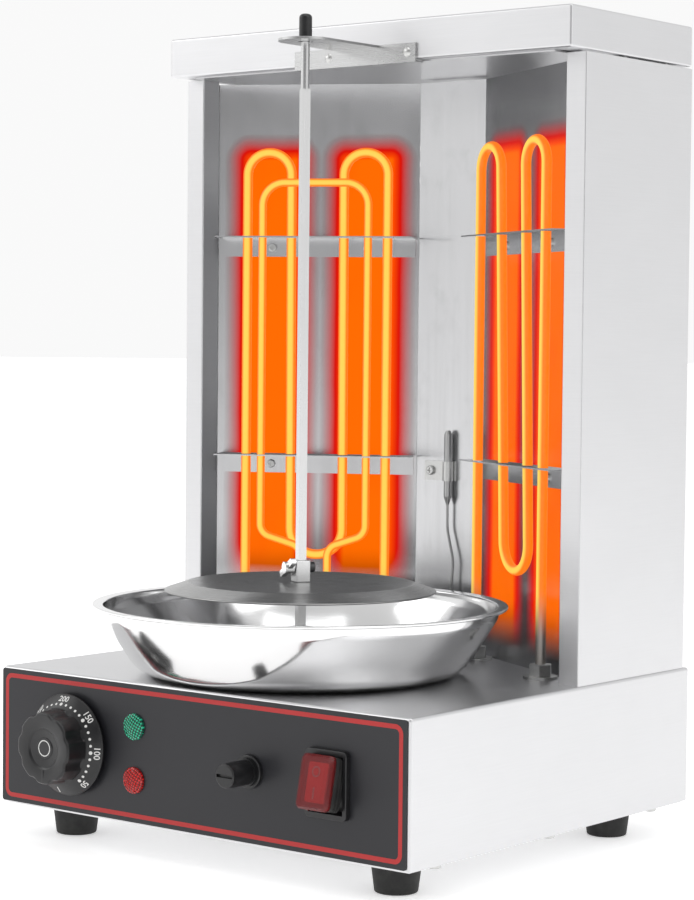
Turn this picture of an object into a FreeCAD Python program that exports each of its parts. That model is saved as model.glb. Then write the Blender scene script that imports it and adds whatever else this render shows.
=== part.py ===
import FreeCAD, Part
import math
import os

# Electric vertical rotisserie: a base box with the controls and the gear motor, a cabinet with
# three reflector sheets and tube heaters, and a spit with a meat disc over a drip bowl.
# Millimetres, +Z up, front towards -Y, origin on the floor under the middle of the outer box.

V = FreeCAD.Vector
X_AXIS, Y_AXIS, Z_AXIS = V(1, 0, 0), V(0, 1, 0), V(0, 0, 1)

# ---- driving dimensions ----
sheet = 1.0                 # stainless sheet
base_w = 300.0
base_d = 270.0
foot_h = 17.8
plate_t = 1.2               # bottom plate, just under the housing
housing_z = foot_h + plate_t
deck_z = housing_z + 79.0
overlay_t = 0.8
spit_depth = 91.2           # spit axis behind the overlay's face
bowl_r = 118.8
gland_reach = 12.0          # cable gland behind the back wall
bowl_reach = bowl_r - spit_depth    # the bowl's rim overhangs the front
base_mid_y = (bowl_reach + overlay_t - gland_reach) / 2
front_y = base_mid_y - base_d / 2
back_y = base_mid_y + base_d / 2
panel_y = front_y - overlay_t       # outer face of the control panel
control_z = housing_z + 39.4        # height of the row of controls
knob_reach = 23.0                   # knob face in front of the overlay

spit_y = panel_y + spit_depth
spit_angle = -28.0          # square bar's turn about the spit axis as shown
cabinet_half_w = 148.7
cabinet_front_y = panel_y + 154.7
cabinet_back_y = panel_y + 265.7
cabinet_top_z = deck_z + 351.6
roof_half_w = 149.0
roof_front_y = cabinet_front_y - 15.8
roof_z = cabinet_top_z + 1.0
roof_top_z = 474.0

reflector_back_y = panel_y + 232.2
reflector_half_w = 25.0
reflector_side_x = 136.4
reflector_side_y = cabinet_front_y + 15.0
reflector_top_z = 448.0
reflector_t = 0.8

tube_r = 3.0
loop_r = 2.5                # the second loop is a thinner tube
tube_h = 11.0               # heater tube centre in front of its reflector
tube_h_low = 6.0            # the same at the lower bend, which leans back
tube_mid = 62.0             # middle of the heater along its reflector
tube_outer = 44.0           # legs either side of the middle
tube_inner = 16.5
tube_top_z = 404.8
tube_low_z = 155.5
loop_h = 18.5
loop_end_h = 12.8
loop_half = 33.0
loop_end_half = 8.3
loop_top_z = 386.0
leg_end_z = deck_z - 14.0
shelf_zs = [218.0, 353.0]   # tops of the heater support shelves

bowl_rim_z = deck_z + 41.0
disc_r = 77.8
disc_top_z = deck_z + 53.0
bar = 4.8                   # side of the square spit bar
round_r = 2.5               # round upper end of the spit
spit_step_z = 431.6         # square bar below, round rod above
spit_top_z = 468.0
tongue_z = 459.0            # middle of the bracket's tongue


# ---- shape helpers ----
def box(x0, x1, y0, y1, z0, z1):
    return Part.makeBox(x1 - x0, y1 - y0, z1 - z0, V(x0, y0, z0))


def rod(x, y, z, r, length, axis=Z_AXIS):
    return Part.makeCylinder(r, length, V(x, y, z), axis)


def cut(shape, tools):
    for tool in tools:
        shape = shape.cut(tool)
    return shape


def join(shapes):
    whole = shapes[0]
    for shape in shapes[1:]:
        whole = whole.fuse(shape)
    return whole.removeSplitter()


def edges_along(shape, axis, test=lambda p: True):
    """Straight edges parallel to axis whose middle passes the test."""
    found = []
    for edge in shape.Edges:
        if not isinstance(edge.Curve, Part.Line):
            continue
        middle = edge.valueAt((edge.FirstParameter + edge.LastParameter) / 2)
        if abs(edge.Curve.Direction.dot(axis)) > 0.999 and test(middle):
            found.append(edge)
    return found


def rounded(x0, x1, y0, y1, z0, z1, r, axis):
    block = box(x0, x1, y0, y1, z0, z1)
    return block.makeFillet(r, edges_along(block, axis))


def slab(points, z0, z1):
    """Upright prism over a closed outline in plan."""
    outline = [V(x, y, z0) for x, y in points]
    face = Part.Face(Part.makePolygon(outline + outline[:1]))
    return face.extrude(V(0, 0, z1 - z0))


def turned(steps, x, y):
    """Solid of revolution about the upright line through x, y.
    Each step is (r, z), or (r, z, through_r, through_z) for an arc to that point."""
    edges = []
    last = V(steps[0][0], 0, steps[0][1])
    for step in steps[1:] + steps[:1]:
        end = V(step[0], 0, step[1])
        if len(step) == 4:
            edges.append(Part.Arc(last, V(step[2], 0, step[3]), end).toShape())
        elif (end - last).Length > 1e-6:
            edges.append(Part.LineSegment(last, end).toShape())
        last = end
    shape = Part.Face(Part.Wire(edges)).revolve(V(0, 0, 0), Z_AXIS, 360)
    shape.translate(V(x, y, 0))
    return shape


def bent_tube(points, bends, r):
    """Round tube along straight runs joined by tangent arcs. bends lists the arcs' radii."""
    points = [V(*p) for p in points]
    edges = []
    start = points[0]
    for before, corner, after, bend_r in zip(points, points[1:], points[2:], bends):
        into = (corner - before).normalize()
        out = (after - corner).normalize()
        turn = into.getAngle(out)
        reach = bend_r * math.tan(turn / 2)
        arc_in = corner - into * reach
        arc_out = corner + out * reach
        inward = (out - into).normalize()
        middle = corner + inward * (bend_r / math.cos(turn / 2) - bend_r)
        if (arc_in - start).Length > 1e-4:
            edges.append(Part.LineSegment(start, arc_in).toShape())
        edges.append(Part.Arc(arc_in, middle, arc_out).toShape())
        start = arc_out
    edges.append(Part.LineSegment(start, points[-1]).toShape())
    path = Part.Wire(edges)
    ring = Part.Wire(Part.makeCircle(r, points[0], points[1] - points[0]))
    return path.makePipeShell([ring], True, False)


def hexagon(x, y, z, across, height):
    corner = across / 2 / math.cos(math.pi / 6)
    points = [(x + corner * math.cos(i * math.pi / 3), y + corner * math.sin(i * math.pi / 3))
              for i in range(6)]
    return slab(points, z, z + height)


def screw(head, axis, r=1.9, head_r=3.6, head_h=2.2, length=8.0):
    """Pan-head cross-slot screw. head is the middle of the seat, axis points to its tip."""
    axis = V(*axis)
    seat = V(*head)
    top = seat - axis * head_h
    shape = Part.makeCylinder(head_r, head_h, top, axis)
    shape = shape.makeFillet(head_h * 0.45, [e for e in shape.Edges if e.isClosed()
                                             and (e.BoundBox.Center - top).Length < 0.01])
    shape = shape.fuse(Part.makeCylinder(r, length, seat, axis))
    side = axis.cross(Z_AXIS if abs(axis.z) < 0.9 else X_AXIS).normalize()
    for arm in (side, axis.cross(side)):
        half = arm * head_r * 0.55
        width = axis.cross(arm).normalize() * 0.35
        corners = [top - half - width, top + half - width, top + half + width, top - half + width]
        slot = Part.Face(Part.makePolygon(corners + corners[:1])).extrude(axis * 1.1)
        shape = shape.cut(slot)
    return shape.removeSplitter()


def on_reflector(side, along, h, z):
    """Point in front of a side reflector: along it from the rear corner, h off its face."""
    run_x = reflector_side_x - reflector_half_w
    run_y = reflector_side_y - reflector_back_y
    length = math.hypot(run_x, run_y)
    ux, uy = run_x / length, run_y / length
    x = reflector_half_w + ux * along + uy * h
    y = reflector_back_y + uy * along - ux * h
    return (side * x, y, z)


def front_ring(shape, y):
    """Closed edges lying on the face at y."""
    return [e for e in shape.Edges if e.isClosed() and e.BoundBox.YMax < y + 0.01]


def save(name, shape):
    os.makedirs("parts", exist_ok=True)
    shape.exportStep("parts/" + name + ".step")


# ---- base ----
knob_x = -92.6
lamp_x = -43.2
lamp_dz = 15.0
fuse_x = 42.0
switch_x = 97.0
foot_spots = {"foot_front_left": (-118.5, panel_y + 30.2), "foot_front_right": (118.5, panel_y + 30.2),
              "foot_rear_left": (-118.5, panel_y + 232.6), "foot_rear_right": (118.5, panel_y + 232.6)}
gland_x, gland_z = 105.0, housing_z + 25.0
capillary_deck = (5.4, reflector_back_y - 5.5)
plate_screw_spots = [(x, base_mid_y + dy) for x in (-143.0, 143.0) for dy in (-105.0, 0.0, 105.0)]
gland_spots = [on_reflector(side, tube_mid + offset, tube_h, deck_z)
               for side in (-1, 1) for offset in (-tube_outer, tube_outer)]
loop_spots = [on_reflector(-1, tube_mid + offset, loop_end_h, deck_z)
              for offset in (-loop_end_half, loop_end_half)]


def front_holes(y0, depth):
    """Openings for the controls, shared by the housing's front wall and the overlay."""
    holes = [rod(knob_x, y0, control_z, 5.1, depth, Y_AXIS),
             rod(fuse_x, y0, control_z, 6.4, depth, Y_AXIS),
             box(switch_x - 12.6, switch_x + 12.6, y0, y0 + depth, control_z - 16.1, control_z + 16.1)]
    for dz in (-lamp_dz, lamp_dz):
        holes.append(rod(lamp_x, y0, control_z + dz, 6.1, depth, Y_AXIS))
    for dx in (-14.0, 14.0):
        holes.append(rod(knob_x + dx, y0, control_z, 2.1, depth, Y_AXIS))
    return holes


def base_housing():
    half = base_w / 2
    shell = box(-half, half, front_y, back_y, housing_z, deck_z)
    shell = shell.makeFillet(1.8, edges_along(shell, Z_AXIS)
                             + edges_along(shell, X_AXIS, lambda p: p.z > deck_z - 1)
                             + edges_along(shell, Y_AXIS, lambda p: p.z > deck_z - 1))
    inner = box(-half + sheet, half - sheet, front_y + sheet, back_y - sheet, housing_z - 1, deck_z - sheet)
    shell = shell.cut(inner)
    flanges = [box(x0, x0 + 12, front_y + 8, back_y - 8, housing_z, housing_z + sheet)
               for x0 in (-half + sheet, half - sheet - 12)]
    shell = join([shell] + flanges)
    holes = front_holes(front_y - 1, sheet + 2)
    holes += [rod(x, y, deck_z - 3, tube_r + 0.4, 6) for x, y, _ in gland_spots + loop_spots]
    holes += [rod(x, y, housing_z - 1, 1.9, 4) for x, y in plate_screw_spots]
    holes += [rod(0, spit_y, deck_z - 3, 10.0, 6), rod(*capillary_deck, deck_z - 3, 2.4, 6),
              rod(gland_x, back_y - 4, gland_z, 7.5, 8, Y_AXIS)]
    holes += [rod(dx, spit_y, deck_z - 3, 2.1, 6) for dx in (-29.0, 29.0)]
    holes += [box(x, x + 3, back_y - 4, back_y + 4, housing_z + 22, housing_z + 52)
              for x in range(-60, 61, 10)]
    return cut(shell, holes)


def bottom_plate():
    plate = box(-147.5, 147.5, front_y + 2.5, back_y - 2.5, foot_h, housing_z)
    holes = [rod(x, y, foot_h - 1, 2.2, 4) for x, y in foot_spots.values()]
    holes += [rod(x, y, foot_h - 1, 2.1, 4) for x, y in plate_screw_spots]
    holes += [box(x, x + 4, y, y + 40, foot_h - 1, housing_z + 1)
              for x in range(-66, 67, 12) for y in (base_mid_y - 70, base_mid_y + 30)]
    return cut(plate, holes)


def control_panel():
    overlay = rounded(-149.2, 147.9, panel_y, front_y, housing_z + 0.6, deck_z - 1.1, 1.6, Y_AXIS)
    return cut(overlay, front_holes(panel_y - 1, overlay_t + 2))


def foot(x, y):
    block = Part.makeCone(11.6, 13.9, foot_h, V(x, y, 0))
    low = [e for e in block.Edges if e.isClosed() and e.BoundBox.ZMax < 0.01]
    block = block.makeFillet(1.2, low)
    return cut(block, [rod(x, y, -1, 4.6, 8), rod(x, y, 0, 2.2, 30)])


save("base_housing", base_housing())
save("bottom_plate", bottom_plate())
save("control_panel", control_panel())
for foot_name, (foot_x, foot_y) in foot_spots.items():
    save(foot_name, foot(foot_x, foot_y))
save("foot_screws", Part.makeCompound([
    screw((x, y, 7.0), (0, 0, 1), r=2.0, head_r=4.0, head_h=2.6, length=17) for x, y in foot_spots.values()]))


# ---- cabinet ----
roof_screw_ys = (cabinet_front_y + 45.0, cabinet_back_y - 22.0)
back_screw_zs = (deck_z + 20.0, deck_z + 176.0, cabinet_top_z - 20.0)
reflector_run = 127.4               # a side reflector from its rear corner to its front edge
bracket_x0, bracket_x1 = -47.0, 43.0
tongue_r = 15.6
rivet_xs = (-21.0, 37.0)
rivet_z = tongue_z - 4.5
clip_screw_x = -13.0                # screw that holds the bulb clip on the centre reflector
clip_z = deck_z + 111.5


def side_panel(side):
    """Outer side, front flange with a return, rear flange, and tabs for the roof and the deck."""
    half, inner = cabinet_half_w, cabinet_half_w - 13.6
    rear = cabinet_back_y - 1.0
    walls = [box(half - sheet, half, cabinet_front_y, rear, deck_z, cabinet_top_z),
             box(inner, half, cabinet_front_y, cabinet_front_y + sheet, deck_z, cabinet_top_z),
             box(inner, inner + sheet, cabinet_front_y, cabinet_front_y + 14.0, deck_z, cabinet_top_z),
             box(half - 11, half, rear - sheet, rear, deck_z, cabinet_top_z)]
    for z in (deck_z, cabinet_top_z - sheet):
        walls.append(box(half - 9, half, cabinet_front_y + 35, rear - 12, z, z + sheet))
    panel = join(walls)
    front = edges_along(panel, Z_AXIS, lambda p: p.y < cabinet_front_y + 0.01)
    panel = panel.makeFillet(0.9, front)
    if side < 0:
        panel = panel.mirror(V(0, 0, 0), X_AXIS)
    holes = [rod(side * (half - 5), y, z - 2, 2.0, 5)
             for y in roof_screw_ys for z in (deck_z, cabinet_top_z - 1)]
    holes += [rod(side * (half - 5.5), rear - 3, z, 2.0, 6, Y_AXIS) for z in back_screw_zs]
    return cut(panel, holes)


def back_panel():
    rear = cabinet_back_y - 1.0
    panel = box(-cabinet_half_w, cabinet_half_w, rear, cabinet_back_y, deck_z + 0.5, cabinet_top_z - 0.2)
    holes = [rod(side * (cabinet_half_w - 5.5), rear - 2, z, 2.0, 5, Y_AXIS)
             for side in (-1, 1) for z in back_screw_zs]
    holes += [box(x, x + 30, rear - 1, cabinet_back_y + 1, cabinet_top_z - drop, cabinet_top_z - drop + 3)
              for x in (-105, -60, -15, 30, 75) for drop in (60, 50, 40)]
    return cut(panel, holes)


def side_reflector(side):
    """Upright sheet with a lip folded back along its top."""
    rear = [on_reflector(1, 0, h, 0)[:2] for h in (0, -reflector_t, -9)]
    front = [on_reflector(1, reflector_run, h, 0)[:2] for h in (0, -reflector_t, -9)]
    face = slab([rear[0], front[0], front[1], rear[1]], deck_z + 0.3, reflector_top_z)
    top = slab([rear[1], front[1], front[2], rear[2]], reflector_top_z - reflector_t, reflector_top_z)
    panel = join([face, top])
    return panel if side > 0 else panel.mirror(V(0, 0, 0), X_AXIS)


def centre_reflector():
    """Flat sheet between the side reflectors, just behind their rear edges."""
    half = reflector_half_w - 0.3
    y0 = reflector_back_y + 0.05
    top = reflector_top_z
    panel = box(-half, half, y0, y0 + reflector_t, deck_z + 0.3, top)
    lip = box(-half + 4, half - 4, y0, y0 + 9, top - reflector_t, top)
    return cut(join([panel, lip]), [rod(clip_screw_x, y0 - 1, clip_z, 1.3, 4, Y_AXIS)])


def roof():
    """Tray lid: top, four skirts and a hem turned in along their lower edges."""
    half, rear = roof_half_w, cabinet_back_y - 0.4
    tray = box(-half, half, roof_front_y, rear, roof_z, roof_top_z)
    tray = tray.makeFillet(1.4, [e for axis in (X_AXIS, Y_AXIS, Z_AXIS) for e in edges_along(tray, axis)])
    hollow = box(-half + sheet, half - sheet, roof_front_y + sheet, rear - sheet,
                 roof_z + sheet, roof_top_z - sheet)
    mouth = box(-half + 13, half - 13, roof_front_y + 13, rear - 12, roof_z - 1, roof_z + 3)
    holes = [rod(side * (cabinet_half_w - 5), y, roof_z - 1, 2.0, 4)
             for side in (-1, 1) for y in roof_screw_ys]
    return cut(tray, [hollow, mouth] + holes)


def ceiling_plate():
    """Loose inner sheet lying between the side panels' top tabs."""
    return box(-134.0, 134.0, roof_front_y + 6.0, cabinet_back_y - 4.0, cabinet_top_z - 0.1, roof_z - 0.1)


def spit_bracket():
    """Folded sheet on the roof's front: a wide web, a tongue forward and a lip back under the roof."""
    t = 1.4
    web_y = roof_front_y
    web = box(bracket_x0, bracket_x1, web_y - t, web_y, cabinet_top_z - 0.9, tongue_z + t / 2)
    lip = box(bracket_x0, bracket_x1, web_y - t, web_y + 5.8, cabinet_top_z - 0.9, roof_z - 0.05)
    tongue = box(-tongue_r, tongue_r, spit_y, web_y, tongue_z - t / 2, tongue_z + t / 2)
    tip = rod(0, spit_y, tongue_z - t / 2, tongue_r, t)
    shape = join([web, lip, tongue, tip])
    holes = [rod(0, spit_y, tongue_z - 3, 4.2, 6)]
    holes += [rod(x, web_y - 4, rivet_z, 1.6, 6, Y_AXIS) for x in rivet_xs]
    return cut(shape, holes)


def rivet(x):
    web_front = roof_front_y - 1.4
    shank = rod(x, web_front, rivet_z, 1.6, 1.4, Y_AXIS)
    head = Part.makeSphere(3.6, V(x, web_front + 2.4, rivet_z))
    keep = rod(x, web_front - 2.6, rivet_z, 3.0, 2.6, Y_AXIS)
    return shank.fuse(head.common(keep)).removeSplitter()


for side_name, side_sign in (("left", -1), ("right", 1)):
    save("side_panel_" + side_name, side_panel(side_sign))
    save("reflector_" + side_name, side_reflector(side_sign))
save("back_panel", back_panel())
save("reflector_centre", centre_reflector())
save("roof", roof())
save("ceiling_plate", ceiling_plate())
save("spit_bracket", spit_bracket())
save("bracket_rivets", Part.makeCompound([rivet(x) for x in rivet_xs]))

casing_screws = [screw((x, y, foot_h), (0, 0, 1), length=6) for x, y in plate_screw_spots]
for side_sign in (-1, 1):
    screw_x = side_sign * (cabinet_half_w - 5)
    casing_screws += [screw((screw_x, y, cabinet_top_z - sheet), (0, 0, 1), length=7) for y in roof_screw_ys]
    casing_screws += [screw((side_sign * (cabinet_half_w - 5.5), cabinet_back_y, z), (0, -1, 0), length=6)
                      for z in back_screw_zs]
save("casing_screws", Part.makeCompound(casing_screws))


# ---- heaters ----
shelf_screw_offsets = (-30.0, 30.0)


def lean(z):
    """Distance of the inner legs from the reflector: they lean back towards the lower bend."""
    share = (z - tube_low_z) / (tube_top_z - tube_low_z)
    return tube_h_low + (tube_h - tube_h_low) * share


def m_heater(side):
    """One tube: up, over, down to a low bend, and the same again the other way."""
    spots = [(-tube_outer, leg_end_z, tube_h), (-tube_outer, tube_top_z, tube_h),
             (-tube_inner, tube_top_z, tube_h), (-tube_inner, tube_low_z, tube_h_low),
             (tube_inner, tube_low_z, tube_h_low), (tube_inner, tube_top_z, tube_h),
             (tube_outer, tube_top_z, tube_h), (tube_outer, leg_end_z, tube_h)]
    bends = [13.6, 13.6, 16.2, 16.2, 13.6, 13.6]
    return bent_tube([on_reflector(side, tube_mid + s, h, z) for s, z, h in spots], bends, tube_r)


def loop_heater(side):
    """Narrow inverted U in front of the first heater, its ends jogged together and back."""
    spots = [(-loop_end_half, leg_end_z, loop_end_h), (-loop_end_half, 160.5, loop_end_h),
             (-loop_half, 169.0, loop_h), (-loop_half, loop_top_z, loop_h)]
    spots += [(-s, z, h) for s, z, h in reversed(spots)]
    bends = [8.5, 8.5, 14.0, 14.0, 8.5, 8.5]
    return bent_tube([on_reflector(side, tube_mid + s, h, z) for s, z, h in spots], bends, loop_r)


def deck_gland(x, y, flange_r, tube):
    """Washer and hex nut round a heater leg on the deck."""
    shape = join([rod(x, y, deck_z, flange_r, 1.4), hexagon(x, y, deck_z + 1.4, 12.0, 6.6)])
    return shape.cut(rod(x, y, deck_z - 1, tube + 0.05, 12))


def heater_supports(side, depth, legs):
    """Two shelves with holes for the tubes, each on a leg screwed to the reflector."""
    shelves = []
    for top in shelf_zs:
        plan, back = [[on_reflector(side, s, h, 0)[:2]
                       for s, h in ((2, 0.05), (124, 0.05), (124, out), (2, out))]
                      for out in (depth, 1.05)]
        shelf = join([slab(plan, top - 0.8, top), slab(back, top - 12.0, top)])
        for offset, height in legs:
            x, y, _ = on_reflector(side, tube_mid + offset, height(top), 0)
            shelf = shelf.cut(rod(x, y, top - 4, tube_r + 0.45, 8))
        for offset in shelf_screw_offsets:
            hole = V(*on_reflector(side, tube_mid + offset, 2.0, top - 6.5))
            inward = hole - V(*on_reflector(side, tube_mid + offset, 3.0, top - 6.5))
            shelf = shelf.cut(Part.makeCylinder(1.4, 3, hole, inward))
        shelves.append(shelf)
    return Part.makeCompound(shelves)


outer_legs = [(s, lambda z: tube_h) for s in (-tube_outer, tube_outer)]
inner_legs = [(s, lean) for s in (-tube_inner, tube_inner)]
loop_legs = [(s, lambda z: loop_h) for s in (-loop_half, loop_half)]

save("heater_left", m_heater(-1))
save("heater_right", m_heater(1))
save("heater_left_inner", loop_heater(-1))
save("heater_glands", Part.makeCompound([deck_gland(x, y, 10.0, tube_r) for x, y, _ in gland_spots]
                                        + [deck_gland(x, y, 8.0, loop_r) for x, y, _ in loop_spots]))
save("heater_supports_left", heater_supports(-1, 23.5, outer_legs + inner_legs + loop_legs))
save("heater_supports_right", heater_supports(1, 16.5, outer_legs + inner_legs))
save("heater_terminals", Part.makeCompound([rod(x, y, leg_end_z - 12, 1.6, 12)
                                            for x, y, _ in gland_spots + loop_spots]))

small_screws = [screw((clip_screw_x, reflector_back_y - 0.8, clip_z), (0, 1, 0),
                      r=1.25, head_r=2.9, head_h=1.8, length=3.5)]
for side_sign in (-1, 1):
    for shelf_z in shelf_zs:
        for offset in shelf_screw_offsets:
            seat = V(*on_reflector(side_sign, tube_mid + offset, 1.05, shelf_z - 6.5))
            inward = seat - V(*on_reflector(side_sign, tube_mid + offset, 2.05, shelf_z - 6.5))
            small_screws.append(screw(seat, inward, r=1.25, head_r=2.6, head_h=1.6, length=1.0))
save("reflector_screws", Part.makeCompound(small_screws))

# ---- thermostat: bulb on the centre reflector, capillary, body, spindle and knob ----
bulb_x = 2.0
bulb_y = reflector_back_y - 3.6
bulb_r = 2.4
bulb_z = deck_z + 91.0
capillary_in_z = deck_z - 52.0      # where the capillary enters the thermostat


def bulb():
    z0, z1 = bulb_z, bulb_z + 45.5
    steps = [(0, z0), (0.9, z0), (bulb_r, z0 + 5), (bulb_r, z1 - 2.5), (1.2, z1), (0, z1)]
    return turned(steps, bulb_x, bulb_y)


def bulb_clip():
    """Plate screwed to the reflector and folded round the bulb."""
    y1 = reflector_back_y
    plate = box(clip_screw_x - 5.0, bulb_x + 3, y1 - 0.8, y1, clip_z - 6.0, clip_z + 6.0)
    ring = rod(bulb_x, bulb_y, clip_z - 6.0, bulb_r + 0.85, 12.0)
    return cut(join([plate, ring]), [rod(clip_screw_x, y1 - 3, clip_z, 1.3, 6, Y_AXIS),
                                     rod(bulb_x, bulb_y, clip_z - 7, bulb_r + 0.05, 14)])


def capillary():
    """From the bulb down through the deck and forward past the motor to the thermostat."""
    cx, cy = capillary_deck
    route = [(bulb_x, bulb_y, bulb_z), (bulb_x, bulb_y, bulb_z - 15.0),
             (bulb_x + 5.5, bulb_y - 0.6, bulb_z - 35.0), (cx, cy, deck_z + 28.0),
             (cx, cy, deck_z - 26.0), (cx - 46.0, cy - 38.0, deck_z - 46.0),
             (knob_x, spit_y - 8.0, deck_z - 56.0), (knob_x, panel_y + 27.4, capillary_in_z)]
    return bent_tube(route, [30.0, 30.0, 30.0, 20.0, 25.0, 25.0], 0.8)


def thermostat_body():
    y0 = front_y + sheet
    can = rounded(knob_x - 17, knob_x + 17, y0, y0 + 24, control_z - 22, control_z + 22, 3.0, Y_AXIS)
    neck = rod(knob_x, panel_y - 1.6, control_z, 4.9, 6, Y_AXIS)
    holes = [rod(knob_x, panel_y - 5, control_z, 3.05, 24, Y_AXIS),
             rod(knob_x, y0 + 21, capillary_in_z, 1.0, 6, Y_AXIS)]
    holes += [rod(knob_x + dx, y0 - 1, control_z, 1.9, 12, Y_AXIS) for dx in (-14.0, 14.0)]
    return cut(join([can, neck]), holes)


def d_shaft(r, y0, y1, flat):
    shaft = rod(knob_x, y0, control_z, r, y1 - y0, Y_AXIS)
    return shaft.cut(box(knob_x - 5, knob_x + 5, y0 - 1, y1 - 8, control_z + flat, control_z + 6))


def knob():
    """Cone-shaped dial skirt and a grip with eight shallow scallops, bored for the D-shaped spindle."""
    y_back, y_rim, y_cone, y_face = panel_y - 2.9, panel_y - 4.4, panel_y - 9.8, panel_y - knob_reach
    rim = rod(knob_x, y_rim, control_z, 28.9, y_back - y_rim, Y_AXIS)
    skirt = Part.makeCone(28.4, 22.0, y_rim - y_cone, V(knob_x, y_rim, control_z), V(0, -1, 0))
    grip = rod(knob_x, y_face, control_z, 21.0, y_cone - y_face, Y_AXIS)
    scallops = []
    for i in range(8):
        angle = math.radians(22.5 + 45.0 * i)
        scallops.append(rod(knob_x + 29.7 * math.cos(angle), y_face - 1, control_z + 29.7 * math.sin(angle),
                            10.0, y_cone - y_face + 1, Y_AXIS))
    grip = cut(grip, scallops)
    grip = grip.makeFillet(1.0, [e for e in grip.Edges if e.BoundBox.YMax < y_face + 0.01])
    recess = rod(knob_x, y_face - 1, control_z, 8.2, 1.9, Y_AXIS)
    socket = d_shaft(3.05, y_face + 4.0, y_back + 9.0, 1.75)
    return cut(join([rim, skirt, grip]), [recess, socket])


save("thermostat_bulb", bulb())
save("bulb_clip", bulb_clip())
save("capillary", capillary())
save("thermostat_body", thermostat_body())
save("thermostat_spindle", d_shaft(3.0, panel_y - knob_reach + 4.2, panel_y + 18.0, 1.7))
save("knob", knob())


# ---- lamps ----
def lamp_lens(z):
    """Stepped lens: a rim against the panel and a shallow dome."""
    rim = rod(lamp_x, panel_y - 1.6, z, 7.4, 1.6, Y_AXIS)
    rim = rim.makeFillet(0.5, front_ring(rim, panel_y - 1.6))
    dome = Part.makeSphere(14.0, V(lamp_x, panel_y - 3.4 + 14.0, z))
    dome = dome.common(rod(lamp_x, panel_y - 6, z, 6.0, 6 - 1.0, Y_AXIS))
    return join([rim, dome]).cut(rod(lamp_x, panel_y - 1.4, z, 4.4, 2, Y_AXIS))


def lamp_body(z):
    return join([rod(lamp_x, panel_y - 1.35, z, 4.3, 4, Y_AXIS), rod(lamp_x, panel_y, z, 6.0, 24, Y_AXIS),
                 rod(lamp_x, front_y + sheet, z, 8.0, 2.0, Y_AXIS)])


for lamp_name, lamp_z in (("green", control_z + lamp_dz), ("red", control_z - lamp_dz)):
    save("lamp_lens_" + lamp_name, lamp_lens(lamp_z))
    save("lamp_body_" + lamp_name, lamp_body(lamp_z))


# ---- fuse ----
def fuse_holder():
    """Panel holder with a stepped flange, and the lock nut behind the wall."""
    flange = rod(fuse_x, panel_y - 2.4, control_z, 9.2, 2.4, Y_AXIS)
    flange = flange.makeFillet(0.7, front_ring(flange, panel_y - 2.4))
    collar = rod(fuse_x, panel_y - 4.4, control_z, 7.7, 2.2, Y_AXIS)
    tube = rod(fuse_x, panel_y, control_z, 6.2, 44, Y_AXIS)
    body = cut(join([flange, collar, tube]), [rod(fuse_x, panel_y - 5, control_z, 4.6, 42, Y_AXIS)])
    nut = rod(fuse_x, front_y + sheet, control_z, 9.0, 4.0, Y_AXIS)
    return Part.makeCompound([body, nut.cut(rod(fuse_x, front_y, control_z, 6.25, 8, Y_AXIS))])


def fuse_cap():
    """Slotted cap with a hollow stem that grips one end of the fuse."""
    y_face, y_seat = panel_y - 20.5, panel_y - 4.5
    head = rod(fuse_x, y_face, control_z, 6.8, y_seat - y_face, Y_AXIS)
    head = head.makeFillet(0.9, front_ring(head, y_face))
    stem = rod(fuse_x, y_seat, control_z, 4.2, 14, Y_AXIS)
    slot = box(fuse_x - 5.2, fuse_x + 5.2, y_face - 1, y_face + 1.6, control_z - 0.9, control_z + 0.9)
    return cut(join([head, stem]), [slot, rod(fuse_x, y_seat + 5, control_z, 2.65, 20, Y_AXIS)])


def fuse_link():
    """Glass cartridge between two metal end caps."""
    y0 = panel_y + 0.9
    ends = [rod(fuse_x, y, control_z, 2.6, 5.5, Y_AXIS) for y in (y0, y0 + 14.5)]
    return Part.makeCompound(ends + [rod(fuse_x, y0 + 5.5, control_z, 2.4, 9.0, Y_AXIS)])


save("fuse_holder", fuse_holder())
save("fuse_cap", fuse_cap())
save("fuse_link", fuse_link())


# ---- rocker switch ----
rocker_tilt = 12.0
rocker_axis_y = panel_y - 1.0
rocker_pin_r = 1.2


def tilted(shape, angle=rocker_tilt):
    """Turned about the rocker's pin so that its lower edge stands out."""
    return shape.rotate(V(switch_x, rocker_axis_y, control_z), X_AXIS, -angle)


def switch_block(half_w, half_h, y0, y1, r):
    """Block centred on the switch, its upright edges rounded when r is not zero."""
    span = (switch_x - half_w, switch_x + half_w, y0, y1, control_z - half_h, control_z + half_h)
    return rounded(*span, r, Y_AXIS) if r else box(*span)


def switch_body():
    """Snap-in frame, the case behind the panel with four tabs, and the well with the rocker's pin."""
    frame = switch_block(13.9, 18.3, panel_y - 3.4, panel_y, 3.0)
    frame = frame.makeFillet(0.6, [e for e in frame.Edges if e.BoundBox.YMax < panel_y - 3.39])
    case = switch_block(12.4, 15.9, panel_y, panel_y + 25, 0)
    pocket = switch_block(11.6, 15.3, panel_y - 5, panel_y + 7, 0)
    tabs = [box(switch_x + dx - 2.4, switch_x + dx + 2.4, panel_y + 25, panel_y + 33, z - 0.4, z + 0.4)
            for dx in (-6.0, 6.0) for z in (control_z - 9, control_z + 3)]
    pin = rod(switch_x - 12.0, rocker_axis_y, control_z, rocker_pin_r, 24.0, X_AXIS)
    return join([join([frame, case] + tabs).cut(pocket), pin])


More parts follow.
